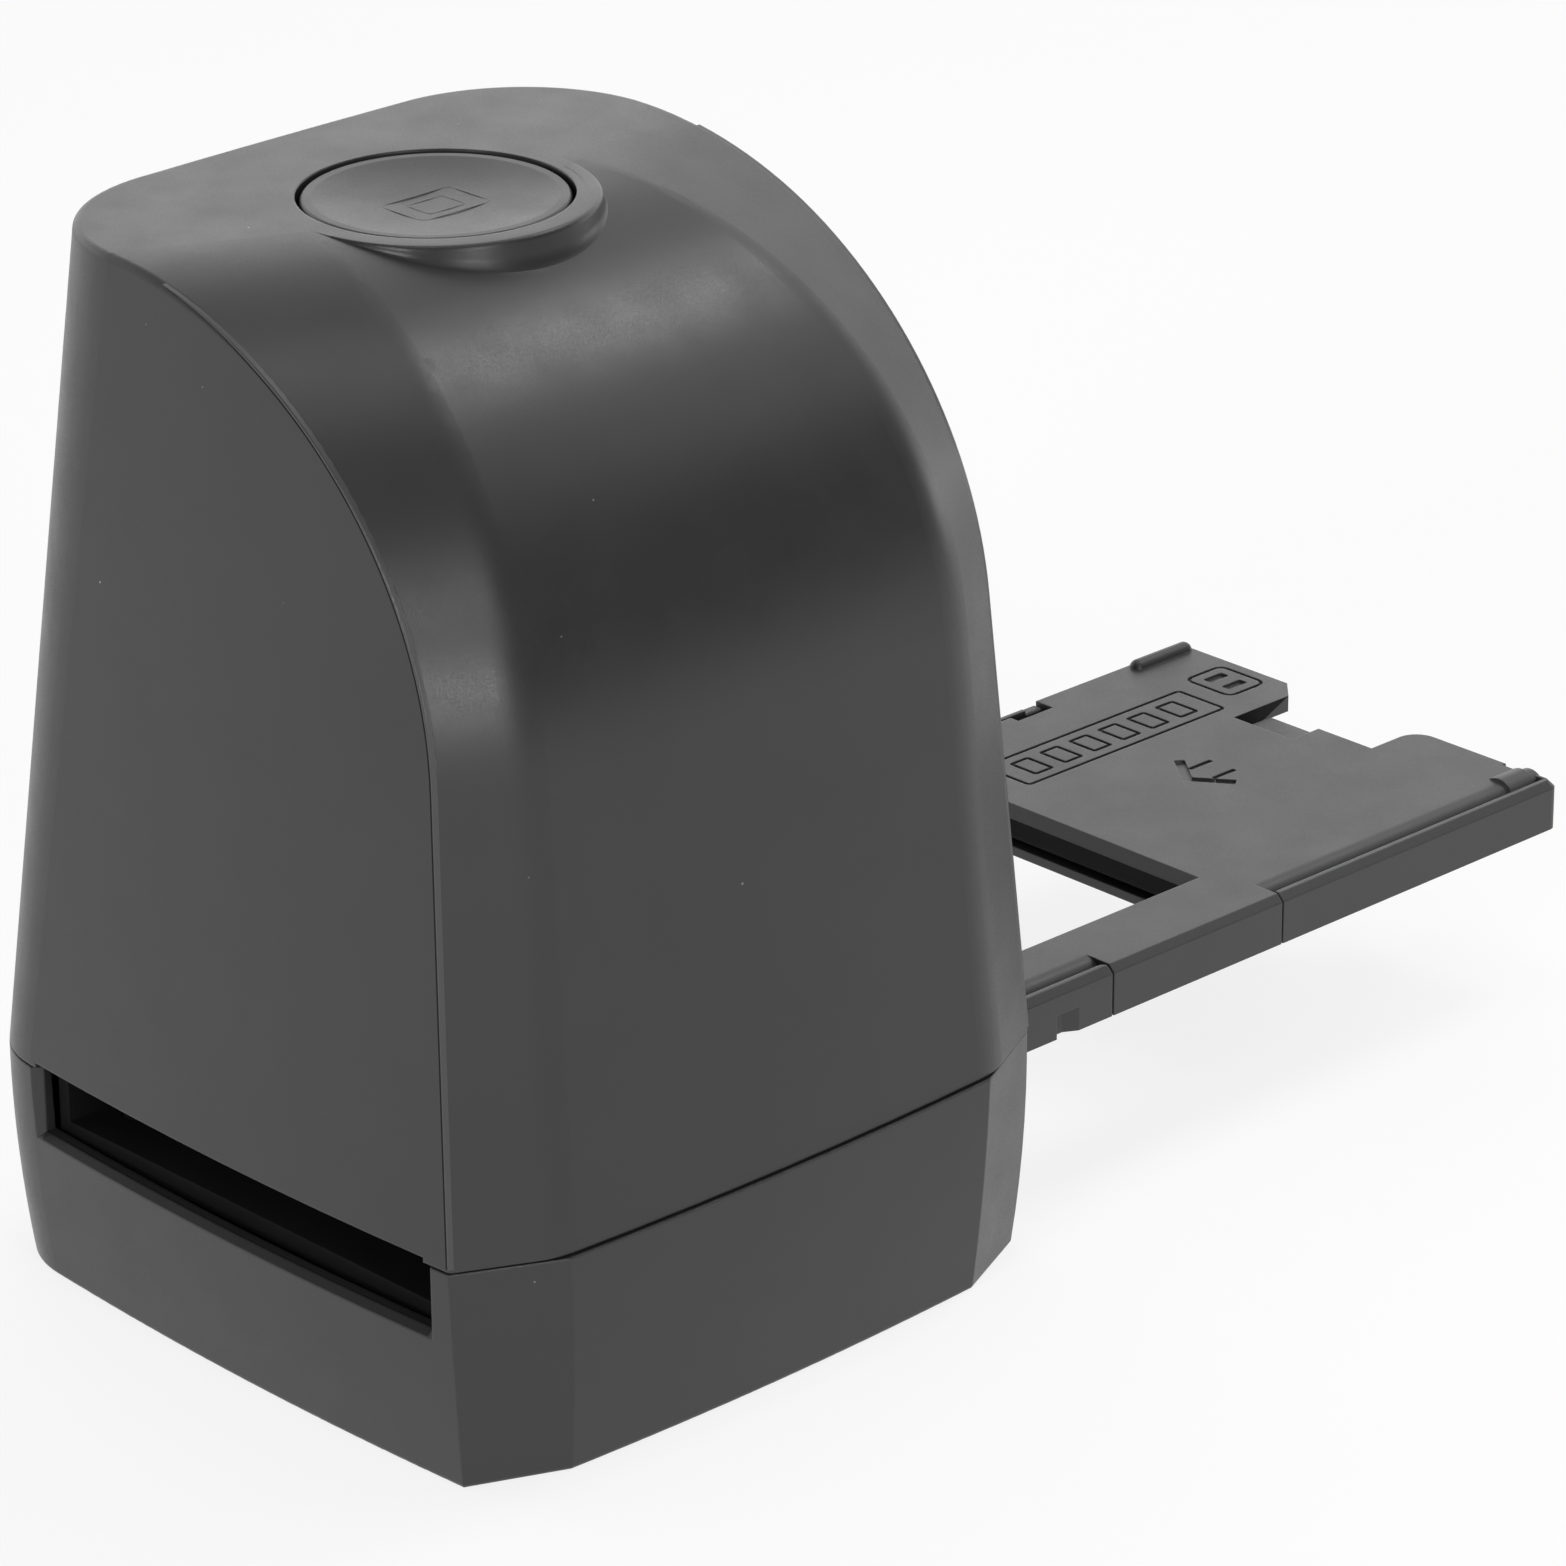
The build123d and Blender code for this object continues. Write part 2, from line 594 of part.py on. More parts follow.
# ---- film tray: frame ----------------------------------------------------
rail_in = tray_half - rail_t
pocket_half = 25.1
pad_z = tray_top - cover_t - play
tongue_end = 133.8
notch_near, notch_far = -8.7, 8.4
tail = rail_in - 0.6
hip = hinge_y + hinge_r + play
flap_room = hinge_y + hinge_z - tray_z + play
far_rail_end = 111.8
window_step = 0.4                     # the frame's opening is this much larger
end_t = 1.3
pin_gap = 0.02
with BuildPart() as tray_frame:
    block((tray_start, tongue_end), (-tray_half, tray_half), (tray_z, tray_z + lip_t))
    block((tongue_end, tray_end), (-tray_half, notch_near - 0.9), (tray_z, tray_z + lip_t))
    block((tray_start, flap_start - play), (-tray_half, -rail_in), (tray_z, tray_top))
    block((flap_end + play, tray_end), (-tray_half, -rail_in), (tray_z, tray_top))
    block((tray_start, far_rail_end), (rail_in, tray_half), (tray_z, tray_top))
    for x0, x1 in ((tray_start, tray_start + 2), (18, 20), (cover_start - 4.2, cover_start - 1.6)):
        block((x0, x1), (-rail_in, rail_in), (tray_z, tray_top))
    pad_x = flap_end + play + 0.8
    block((pad_x, tongue_end), (hip, tail), (tray_z, pad_z))
    block((tongue_end, cover_end), (hip, notch_near - 0.9), (tray_z, pad_z))
    block((cover_start - 1.6, pad_x), (pocket_half, tail), (tray_z, pad_z))
    block((tongue_end - 4, tongue_end), (0.7, notch_far), (tray_z, tray_top - 0.9))
    inner_post = (cover_start - 4.2, cover_start - play)
    block(inner_post, (-rail_in - 0.1, hinge_y + hinge_r), (tray_z, tray_top))
    outer_post = (tray_end - end_t, tray_end)
    block(outer_post, (-rail_in - 0.1, hinge_y + hinge_r), (tray_z, hinge_z))
    rod_along("x", *outer_post, hinge_y, hinge_z, hinge_r)
    block(outer_post, (-rail_in - 0.1, hinge_y - hinge_r + 0.4), (tray_z, tray_top))
    pin_from, pin_to = cover_start - 3.4, tray_end - 0.5
    rod_along("x", pin_from, cover_start + 4, hinge_y, hinge_z, pin_r + pin_gap, Mode.SUBTRACT)
    rod_along("x", pin_to - 5, pin_to, hinge_y, hinge_z, pin_r + pin_gap, Mode.SUBTRACT)
    half_y = window_y / 2 + window_step
    block((window_cx - window_x / 2 - window_step, window_end + window_step), (-half_y, half_y),
          (base_z, top_z), Mode.SUBTRACT)
    block((flap_start - play, flap_end + play), (-tray_half - 1, flap_room),
          (base_z, top_z), Mode.SUBTRACT)
    for s in (-1, 1):
        with BuildSketch(Plane.XY.offset(tray_z - 1)) as notch:
            with BuildLine():
                Polyline(
                    (notch_x - 1.9, s * (tray_half + 0.1)), (notch_x + 1.9, s * (tray_half + 0.1)),
                    (notch_x, s * (tray_half - 1)), (notch_x - 1.9, s * (tray_half - 1)),
                    (notch_x - 1.9, s * (tray_half + 0.1)),
                )
            make_face()
        extrude(notch.sketch, amount=4, mode=Mode.SUBTRACT)
    corner = tray_frame.edges().filter_by(Axis.Z).filter_by(
        lambda e: abs(e.center().X - tray_end) < 0.01 and e.center().Y < -tray_half + 0.1)
    fillet(corner, 1.5)
    top_out = tray_frame.edges().filter_by(Axis.X).filter_by(
        lambda e: abs(e.center().Z - tray_top) < 0.01 and abs(abs(e.center().Y) - tray_half) < 0.01)
    chamfer(top_out, edge_bevel)
    round_r = 1.1
    with BuildSketch(Plane.XY.offset(tray_z + lip_t)) as shaving:
        with Locations((flap_start - play - round_r / 2, -rail_in - round_r / 2)):
            Rectangle(round_r, round_r)
        with Locations((flap_start - play - round_r, -rail_in - round_r)):
            Circle(round_r, mode=Mode.SUBTRACT)
    extrude(shaving.sketch, amount=tray_h, mode=Mode.SUBTRACT)
save(tray_frame, "tray_frame")

pin_l = 7.0
with BuildPart() as hinge_pins:
    rod_along("x", pin_from + 0.2, pin_from + 0.2 + pin_l, hinge_y, hinge_z, pin_r)
    rod_along("x", pin_to - 0.2 - 5, pin_to - 0.2, hinge_y, hinge_z, pin_r)
save(hinge_pins, "hinge_pins")

# ---- film tray: cover ----------------------------------------------------
tab_t = 2.1
barrel_end = outer_post[0] - play
knuckle_r = hinge_r + 0.45
latch_near, latch_far = 0.2, 10.1
latch_x = 128.9
far_edge = tray_half - 0.2
tab_x = 115.0
rib_r = 1.1
with BuildPart() as tray_cover:
    with BuildSketch(Plane.XY.offset(tray_top - cover_t)) as lid:
        with BuildLine():
            Polyline(
                (cover_start, hinge_y), (barrel_end, hinge_y), (barrel_end, hip + 0.6),
                (cover_end, hip + 0.6), (cover_end, notch_near), (tongue_end, notch_near),
                (tongue_end, latch_near), (latch_x, latch_near), (latch_x, latch_far),
                (cover_end - 3, latch_far), (cover_end, latch_far + 3), (cover_end, far_edge),
                (tab_x, far_edge), (tab_x, rail_in - 1.7), (far_rail_end - 3, rail_in - 1.7),
                (far_rail_end - 3, rail_in - play), (cover_start, rail_in - play), (cover_start, hinge_y),
            )
        make_face()
        near_corner = lid.vertices().filter_by(
            lambda v: abs(v.X - cover_end) < 0.01 and abs(v.Y - notch_near) < 0.01)
        fillet(near_corner, 3.0)
        far_corner = lid.vertices().filter_by(
            lambda v: abs(v.X - cover_end) < 0.01 and v.Y > far_edge - 0.1)
        fillet(far_corner, 1.6)
    extrude(amount=cover_t)
    block((tongue_end + 0.3, tray_end), (notch_far + 0.6, beyond), (base_z, tray_top - tab_t), Mode.SUBTRACT)
    rod_along("x", cover_start, barrel_end, hinge_y, hinge_z, hinge_r)
    rod_along("x", barrel_end - 4.5, barrel_end, hinge_y, hinge_z, knuckle_r)
    block((flap_start, flap_end), (-tray_half, hinge_y - 1.2), (tray_z, tray_top))
    block((flap_start, flap_end), (hinge_y - 1.3, hinge_y), (hinge_z - 1.5, tray_top))
    rib = (132.5, cover_end - rib_r)
    rod_along("x", *rib, far_edge - rib_r, tray_top - 0.1, rib_r)
    for x in rib:
        with Locations((x, far_edge - rib_r, tray_top - 0.1)):
            Sphere(rib_r)
    block((window_cx - window_x / 2, window_end), (-window_y / 2, window_y / 2), (base_z, top_z), Mode.SUBTRACT)
    sides = tray_cover.edges().filter_by(Axis.Y).filter_by(
        lambda e: abs(e.center().Z - tray_top) < 0.01 and abs(e.length - window_y) < 0.1)
    chamfer(sides, 1.3)
    lip = tray_cover.edges().filter_by(Axis.X).filter_by(
        lambda e: abs(e.center().Z - tray_top) < 0.01 and e.center().Y < -tray_half + 0.1)
    chamfer(lip, edge_bevel)
    rod_along("x", cover_start - 4, pin_from + pin_l + 0.8, hinge_y, hinge_z, pin_r + thread_play, Mode.SUBTRACT)
    rod_along("x", pin_to - 5.8, tray_end, hinge_y, hinge_z, pin_r + thread_play, Mode.SUBTRACT)
save(tray_cover, "tray_cover")
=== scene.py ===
import bmesh
import bpy
import json
import math
from mathutils import Matrix, Vector


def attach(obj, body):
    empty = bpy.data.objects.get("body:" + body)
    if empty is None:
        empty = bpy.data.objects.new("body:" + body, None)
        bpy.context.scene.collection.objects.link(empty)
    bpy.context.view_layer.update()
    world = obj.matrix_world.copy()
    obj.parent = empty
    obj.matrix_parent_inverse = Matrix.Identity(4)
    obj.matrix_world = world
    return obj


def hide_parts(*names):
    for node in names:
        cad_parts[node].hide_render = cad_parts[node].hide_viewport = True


# Film scanner: finishes for every piece, the thin trim of the housing and the
# tray, and a plain studio. Shapes are worked out in millimetres and written in
# metres. The front faces -Y, up is +Z, and the tray sticks out towards +X.

MM = 0.001
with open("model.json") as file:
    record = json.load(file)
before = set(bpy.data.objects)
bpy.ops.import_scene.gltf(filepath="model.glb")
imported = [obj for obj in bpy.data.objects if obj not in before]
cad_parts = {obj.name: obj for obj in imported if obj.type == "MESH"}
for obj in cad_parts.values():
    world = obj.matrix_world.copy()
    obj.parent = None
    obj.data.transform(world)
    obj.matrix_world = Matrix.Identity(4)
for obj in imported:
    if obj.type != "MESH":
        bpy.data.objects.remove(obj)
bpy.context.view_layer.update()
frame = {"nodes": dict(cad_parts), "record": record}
nodes = frame["nodes"]

# ---- driving sizes of the housing ----------------------------------------
SEAM, TOP = 26.8, 125.6               # heights of the seam and of the flat top
HALF_SEAM, SIDE_TAPER = 44.8, 0.0585  # half width at the seam, lean of the sides
SIDE_CROWN, CROWN_REACH, CROWN_Y = 1.4, 38, -4
FOOT_DRAW, BELLY = 1.9, 0.4           # the base narrows downwards and swells half way
HUMP_R, HUMP_Y, LEAN = 50.0, 11.5, math.radians(5.1)
BAND_TURN, BAND_AXIS_X = math.radians(26.8), 22.5
FRONT_CROWN, BAND_HALF = 0.93, 31.7
BUTTON_Y, BOSS_R, FLARE = 11.0, 17.9, 1.2 / 9
DISH_EDGE_R, DISH_DEPTH, CAP_DROP = 13.6, 1.2, 0.2
DISH_R = (DISH_EDGE_R ** 2 + DISH_DEPTH ** 2) / 2 / DISH_DEPTH
SLOT_Z, SLOT_HALF, BEVEL = 18.7, 33.5, 0.9
TRAY_TOP, WINDOW_END, LATCH_Y = 26.3, 88.3, 10.1

HANDS = ((1, "right"), (-1, "left"))


# ---- finishes ------------------------------------------------------------
def link(tree, a, b):
    tree.links.new(a, b)


def new_tree(name):
    mat = bpy.data.materials.new(name)
    mat.use_nodes = True
    tree = mat.node_tree
    coord = tree.nodes.new("ShaderNodeTexCoord").outputs["Object"]
    return mat, tree, tree.nodes["Principled BSDF"], coord


def noise(tree, coord, scale, detail=3.0, rough=0.55):
    node = tree.nodes.new("ShaderNodeTexNoise")
    node.inputs["Scale"].default_value = scale
    node.inputs["Detail"].default_value = detail
    node.inputs["Roughness"].default_value = rough
    link(tree, coord, node.inputs["Vector"])
    return node.outputs["Fac"]


def span(tree, fac, a, b, lo=0.3, hi=0.7):
    """Map the range lo..hi of a value to a..b."""
    node = tree.nodes.new("ShaderNodeMapRange")
    node.inputs["From Min"].default_value = lo
    node.inputs["From Max"].default_value = hi
    node.inputs["To Min"].default_value = a
    node.inputs["To Max"].default_value = b
    link(tree, fac, node.inputs["Value"])
    return node.outputs["Result"]


def combine(tree, kind, a, b):
    node = tree.nodes.new("ShaderNodeMath")
    node.operation = kind
    link(tree, a, node.inputs[0])
    link(tree, b, node.inputs[1])
    return node.outputs[0]


def mix(tree, fac, a, b):
    """Colour between a and b, each a plain colour or the output of a node."""
    node = tree.nodes.new("ShaderNodeMix")
    node.data_type = "RGBA"
    for i, color in ((6, a), (7, b)):
        if isinstance(color, tuple):
            node.inputs[i].default_value = (*color, 1.0)
        else:
            link(tree, color, node.inputs[i])
    link(tree, fac, node.inputs[0])
    return node.outputs[2]


def edge_mask(tree, radius):
    """White on convex edges, from the angle between bevelled and true normal."""
    bevel = tree.nodes.new("ShaderNodeBevel")
    bevel.samples = 6
    bevel.inputs["Radius"].default_value = radius
    geo = tree.nodes.new("ShaderNodeNewGeometry")
    dot = tree.nodes.new("ShaderNodeVectorMath")
    dot.operation = "DOT_PRODUCT"
    link(tree, bevel.outputs["Normal"], dot.inputs[0])
    link(tree, geo.outputs["Normal"], dot.inputs[1])
    return span(tree, dot.outputs["Value"], 1.0, 0.0, 0.80, 0.99), bevel.outputs["Normal"]


def with_dust(tree, coord, base, patches, amount):
    """Sparse pale specks, only where the slow noise is high."""
    cells = tree.nodes.new("ShaderNodeTexVoronoi")
    cells.inputs["Scale"].default_value = 210
    link(tree, coord, cells.inputs["Vector"])
    speck = span(tree, cells.outputs["Distance"], amount, 0, 0.015, 0.040)
    rare = combine(tree, "MULTIPLY", speck, span(tree, patches, 0, 1, 0.55, 0.60))
    return mix(tree, rare, base, (0.42, 0.42, 0.41))


def surface(name, color, rough, grain=0.35, depth=0.02, tone=0.06, wear=0.25, worn=None,
            metal=0.0, spec=0.5, radius=0.25, coat=0.0, dust=0.0):
    """Moulded or plated surface: fine grain, slow colour drift, bright worn edges."""
    mat, tree, shader, coord = new_tree(name)
    dark = tuple(c * (1 - tone) for c in color)
    light = tuple(min(1.0, c * (1 + tone)) for c in color)
    slow = noise(tree, coord, 55, 4)
    base = mix(tree, span(tree, slow, 0, 1), dark, light)
    if dust:
        base = with_dust(tree, coord, base, slow, dust)
    edge, rounded_normal = edge_mask(tree, radius * MM)
    scuff = noise(tree, coord, 900, 3)
    patchy = combine(tree, "MULTIPLY", edge, span(tree, scuff, 0.2 * wear, wear, 0.35, 0.65))
    rub = worn or tuple(min(1.0, c * 1.9 + 0.02) for c in color)
    link(tree, mix(tree, patchy, base, rub), shader.inputs["Base Color"])
    fine = noise(tree, coord, 1 / (grain * MM), 2)
    uneven = noise(tree, coord, 140, 3)
    both = combine(tree, "ADD", span(tree, fine, -0.05, 0.05), span(tree, uneven, rough - 0.03, rough + 0.03))
    link(tree, both, shader.inputs["Roughness"])
    bump = tree.nodes.new("ShaderNodeBump")
    bump.inputs["Strength"].default_value = 1.0
    bump.inputs["Distance"].default_value = depth * MM
    link(tree, fine, bump.inputs["Height"])
    link(tree, rounded_normal, bump.inputs["Normal"])
    link(tree, bump.outputs["Normal"], shader.inputs["Normal"])
    shader.inputs["Metallic"].default_value = metal
    shader.inputs["Specular IOR Level"].default_value = spec
    shader.inputs["Coat Weight"].default_value = coat
    return mat


def coated_glass(name):
    mat, tree, shader, coord = new_tree(name)
    shader.inputs["Transmission Weight"].default_value = 0.9
    shader.inputs["IOR"].default_value = 1.6
    tint = mix(tree, span(tree, noise(tree, coord, 200), 0, 1), (0.5, 0.6, 0.8), (0.65, 0.55, 0.8))
    link(tree, tint, shader.inputs["Base Color"])
    link(tree, span(tree, noise(tree, coord, 900), 0.02, 0.08), shader.inputs["Roughness"])
    return mat


looks = {
    "charcoal_shell": dict(color=(0.025, 0.025, 0.026), rough=0.36, grain=0.22, depth=0.006, tone=0.03,
                           wear=0.2, spec=0.45, radius=0.4, dust=0.8),
    "charcoal_tray": dict(color=(0.036, 0.036, 0.037), rough=0.42, grain=0.25, depth=0.010, tone=0.03),
    # black_inner is the dark inner parts' own finish; the same finish also serves as painted shade on strips
    # and lid faces in gaps and undercuts
    "black_inner": dict(color=(0.010, 0.010, 0.011), rough=0.7, grain=0.3, tone=0.1,
                        wear=0.1, worn=(0.02, 0.02, 0.02), spec=0.12),
    "white_box": dict(color=(0.82, 0.82, 0.80), rough=0.5, grain=0.4, depth=0.015, tone=0.03, wear=0.1),
    "diffuser": dict(color=(0.80, 0.81, 0.82), rough=0.35, grain=0.6, depth=0.01, tone=0.02, wear=0.05),
    "led_white": dict(color=(0.86, 0.80, 0.45), rough=0.4, grain=0.2, tone=0.1, wear=0.1),
    "board_green": dict(color=(0.012, 0.12, 0.045), rough=0.3, grain=0.5, tone=0.12,
                        wear=0.3, worn=(0.55, 0.5, 0.3), coat=0.3),
    "chip_black": dict(color=(0.022, 0.022, 0.024), rough=0.5, grain=0.15, tone=0.1, wear=0.2),
    "switch_button": dict(color=(0.04, 0.04, 0.04), rough=0.45, grain=0.2, depth=0.01, tone=0.1, wear=0.2),
    "steel_screws": dict(color=(0.56, 0.56, 0.57), rough=0.32, grain=0.12, depth=0.01, tone=0.08,
                         wear=0.5, worn=(0.8, 0.8, 0.8), metal=1.0),
    "usb_metal": dict(color=(0.64, 0.64, 0.65), rough=0.25, grain=0.2, depth=0.006, tone=0.05,
                      wear=0.4, worn=(0.85, 0.85, 0.85), metal=1.0),
    "foot_rubber": dict(color=(0.03, 0.03, 0.03), rough=0.75, grain=0.4, depth=0.05, tone=0.15, wear=0.2),
    "roller_white": dict(color=(0.74, 0.74, 0.70), rough=0.35, grain=0.3, depth=0.008, tone=0.04, wear=0.1),
    "lens_black": dict(color=(0.02, 0.02, 0.021), rough=0.38, grain=0.1, depth=0.01, tone=0.1,
                       wear=0.4, worn=(0.3, 0.3, 0.3), metal=0.3),
    "cable_white": dict(color=(0.68, 0.68, 0.64), rough=0.5, grain=0.4, wear=0.1),
    "charcoal_button": dict(color=(0.025, 0.025, 0.026), rough=0.39, grain=0.2, depth=0.006, tone=0.03,
                            wear=0.2, spec=0.46, radius=0.4),
    # The rim lips' finish is a lighter copy of the shell finish: painted highlight along the edge; its rubbed
    # edges are wear.
    "charcoal_rim_highlight": dict(color=(0.048, 0.048, 0.049), rough=0.34, grain=0.2, depth=0.006,
                         wear=0.4, radius=0.15),
    # The sill finish is a darker, duller copy of the shell finish: painted shade on the slot sills.
    "sill_painted_shade": dict(color=(0.012, 0.012, 0.013), rough=0.5, grain=0.3, depth=0.01,
                           wear=0.15, spec=0.2, radius=0.2),
}
finish = {name: surface(name, **look) for name, look in looks.items()}
finish["lens_glass"] = coated_glass("lens_glass")

slot_of = {s["node"]: s["material_slot"] for s in frame["record"]["subparts"]}
for name, obj in nodes.items():
    obj.data.materials.clear()
    obj.data.materials.append(finish["charcoal_button" if name == "scan_button" else slot_of[name]])


# ---- helpers for shapes --------------------------------------------------
def link_object(name, data):
    obj = bpy.data.objects.new(name, data)
    bpy.context.scene.collection.objects.link(obj)
    return obj


def add_mesh(name, points, faces, slot_name, body, smooth=True, look=None):
    """Mesh of millimetre points, riding on a body unless that is None."""
    mesh = bpy.data.meshes.new(name)
    mesh.from_pydata([tuple(c * MM for c in p) for p in points], [], faces)
    mesh.update()
    bm = bmesh.new()
    bm.from_mesh(mesh)
    bmesh.ops.recalc_face_normals(bm, faces=bm.faces)
    bm.to_mesh(mesh)
    bm.free()
    for poly in mesh.polygons:
        poly.use_smooth = smooth
    mesh.materials.append(finish[look or slot_name])
    obj = link_object(name, mesh)
    if body:
        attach(obj, body)
    return obj


def skin(rows, close_ring):
    """Quad faces between neighbouring rows of points; rings may be closed."""
    n = len(rows[0])
    faces = []
    for i in range(len(rows) - 1):
        for j in range(n if close_ring else n - 1):
            k = (j + 1) % n
            faces.append((i * n + j, i * n + k, (i + 1) * n + k, (i + 1) * n + j))
    return [p for row in rows for p in row], faces


def side_draw(y):
    """How far the crowned sides draw in at one place along Y."""
    return SIDE_CROWN * ((y - CROWN_Y) / CROWN_REACH) ** 2


def hump_z(x, y):
    """Height of the quarter round above one plan point, without the turned bands."""
    y -= FRONT_CROWN * (x / BAND_HALF) ** 2
    return TOP - HUMP_R + math.sqrt(max(0.0, HUMP_R ** 2 - max(0.0, HUMP_Y - y) ** 2))


def dish_z(x, y):
    """Height of the button's dished top at one plan point."""
    rim = TOP - CAP_DROP - DISH_DEPTH
    return rim + DISH_R - math.sqrt(DISH_R ** 2 - x * x - (y - BUTTON_Y) ** 2)


def rounded(x0, y0, x1, y1, r, inset=0.0, steps=5):
    """Plan ring of a box with round corners."""
    x0, y0, x1, y1, r = x0 + inset, y0 + inset, x1 - inset, y1 - inset, max(0.05, r - inset)
    corners = ((x1 - r, y1 - r, 0), (x0 + r, y1 - r, 90), (x0 + r, y0 + r, 180), (x1 - r, y0 + r, 270))
    ring = []
    for cx, cy, a0 in corners:
        for k in range(steps + 1):
            a = math.radians(a0 + 90 * k / steps)
            ring.append((cx + r * math.cos(a), cy + r * math.sin(a)))
    return ring


def rounded_path(corners, setbacks, steps=7):
    """Polyline through plane corners, the inner ones rounded by their setbacks."""
    path = [corners[0]]
    for a, b, c, back in zip(corners, corners[1:], corners[2:], setbacks):
        p0 = b + (a - b).normalized() * min(back, (a - b).length * 0.49)
        p2 = b + (c - b).normalized() * min(back, (c - b).length * 0.49)
        for k in range(steps + 1):
            t = k / steps
            path.append(p0 * (1 - t) ** 2 + b * 2 * t * (1 - t) + p2 * t ** 2)
    return path + [corners[-1]]


# ---- housing: rim lips, a thin raised edge painted lighter as highlight, with a black strip beside it painting the shade of a groove --
LIP_PROUD, LIP_W, LIP_BACK = 0.09, 0.26, 0.8
LINE_FROM, LINE_TO, LINE_PROUD = 0.24, 0.54, 0.012
FADE_REACH, FADE_END = 5.0, 0.02      # the lip thins out over its last millimetres


def rim_point(z):
    """Corner of side wall and turned band on the +X side, with both normals."""
    cz = TOP - HUMP_R
    rise = max(LEAN, math.asin(min(1.0, (z - cz) / HUMP_R)))
    u = HUMP_Y - HUMP_R * math.cos(rise)
    if rise == LEAN:
        u -= (cz + HUMP_R * math.sin(LEAN) - z) * math.tan(LEAN)
    y = -30.0
    for _ in range(20):
        x = HALF_SEAM - SIDE_TAPER * (z - SEAM) - side_draw(y)
        y = (u + math.sin(BAND_TURN) * (x - BAND_AXIS_X)) / math.cos(BAND_TURN)
    slope = 2 * SIDE_CROWN * (y - CROWN_Y) / CROWN_REACH ** 2
    side = Vector((1, slope, SIDE_TAPER)).normalized()
    level = math.cos(rise)
    band = Vector((math.sin(BAND_TURN) * level, -math.cos(BAND_TURN) * level, math.sin(rise)))
    return Vector((x, y, z)), side, band


def rim_levels():
    """Heights of the stations: even steps up the front, then even turns round the hump."""
    front = [SEAM + 0.5 + i * 2.0 for i in range(26)]
    hump = [TOP - HUMP_R + HUMP_R * math.sin(math.radians(a)) for a in range(5, 80, 2)]
    return sorted(front + hump)


def rim_lips():
    lip_rows, line_rows = [], []
    levels = rim_levels()
    for z in levels:
        at, side, band = rim_point(z)
        along = side.cross(band).normalized()
        on_side, on_band = side.cross(along), along.cross(band)
        if on_side.dot(band) > 0:
            on_side = -on_side
        if on_band.dot(side) > 0:
            on_band = -on_band
        fade = min(1.0, (levels[-1] - z) / FADE_REACH + FADE_END)
        proud = LIP_PROUD * fade
        half = (side + band).normalized()
        lip_rows.append([
            at + on_band * LIP_BACK - band * 0.04,
            at + on_band * LIP_BACK / 2 + band * 0.01 * fade,
            at + on_band * 0.10 + band * 0.5 * proud,
            at + half * proud,
            at + on_side * 0.10 * fade + side * proud,
            at + on_side * 0.22 * fade + side * proud,
            at + on_side * LIP_W * fade + side * 0.5 * proud,
            at + on_side * LIP_W * fade - side * 0.05,
        ])
        line_rows.append([at + on_side * reach * fade + side * LINE_PROUD for reach in (LINE_FROM, LINE_TO)])
    for hand, word in HANDS:
        for rows, name, slot_name, look in (
                # lips in the lighter rim finish: painted highlight
                (lip_rows, "rim_lip", "charcoal_shell", "charcoal_rim_highlight"),
                # black strip beside the lip: painted shade of a groove, no groove is cut
                (line_rows, "groove_painted_shade", "black_inner", "black_inner")):
            flipped = [[Vector((hand * q.x, q.y, q.z)) for q in row] for row in rows]
            add_mesh(f"{name}_{word}", *skin(flipped, False), slot_name, "housing", look=look)


# ---- housing: rounded collar and cove round the front of the boss ---------
GROWN, COLLAR_IN = 0.36, 16.5         # how proud the collar stands, its inner radius
COVE_MIN, COVE_MAX, COVE_SLOPE = 0.4, 2.4, 0.9
TOP_ROUND, FOOT_ROUND = 0.5, 2.4
FULL_DROP = 1.6                       # the collar is full where the wall is this tall
SKIM = 0.02                           # thin pieces stand this far off their base
COLLAR_FROM, COLLAR_TURN, COLLAR_STEPS = 190, 160, 120


def boss_collar():
    rows = []
    for i in range(COLLAR_STEPS + 1):
        a = math.radians(COLLAR_FROM + COLLAR_TURN * i / COLLAR_STEPS)
        cx, sx = math.cos(a), math.sin(a)
        r = BOSS_R
        for _ in range(20):
            z = hump_z(r * cx, BUTTON_Y + r * sx)
            r = BOSS_R + GROWN + FLARE * (TOP - z)
        drop = TOP - z
        full = min(1.0, drop / FULL_DROP)
        r = BOSS_R + (GROWN + FLARE * drop) * full
        z = hump_z(r * cx, BUTTON_Y + r * sx)
        out = r + COVE_MIN + min(COVE_MAX, COVE_SLOPE * drop)
        edge = Vector((COLLAR_IN, TOP + SKIM))
        top_corner = Vector((BOSS_R + GROWN * full, TOP + SKIM))
        foot = Vector((r, z + SKIM))
        end = Vector((out, hump_z(out * cx, BUTTON_Y + out * sx) + 0.015))
        path = rounded_path([edge, top_corner, foot, end], [TOP_ROUND * full, FOOT_ROUND * full])
        rows.append([Vector((q.x * cx, BUTTON_Y + q.x * sx, q.y)) for q in path])
    add_mesh("boss_collar", *skin(rows, False), "charcoal_shell", "housing")


# ---- housing: sloping sills of the two slots, darkened as painted shade ---
SILL_STEPS, SILL_PROUD, SILL_IN = 32, 0.014, 0.05


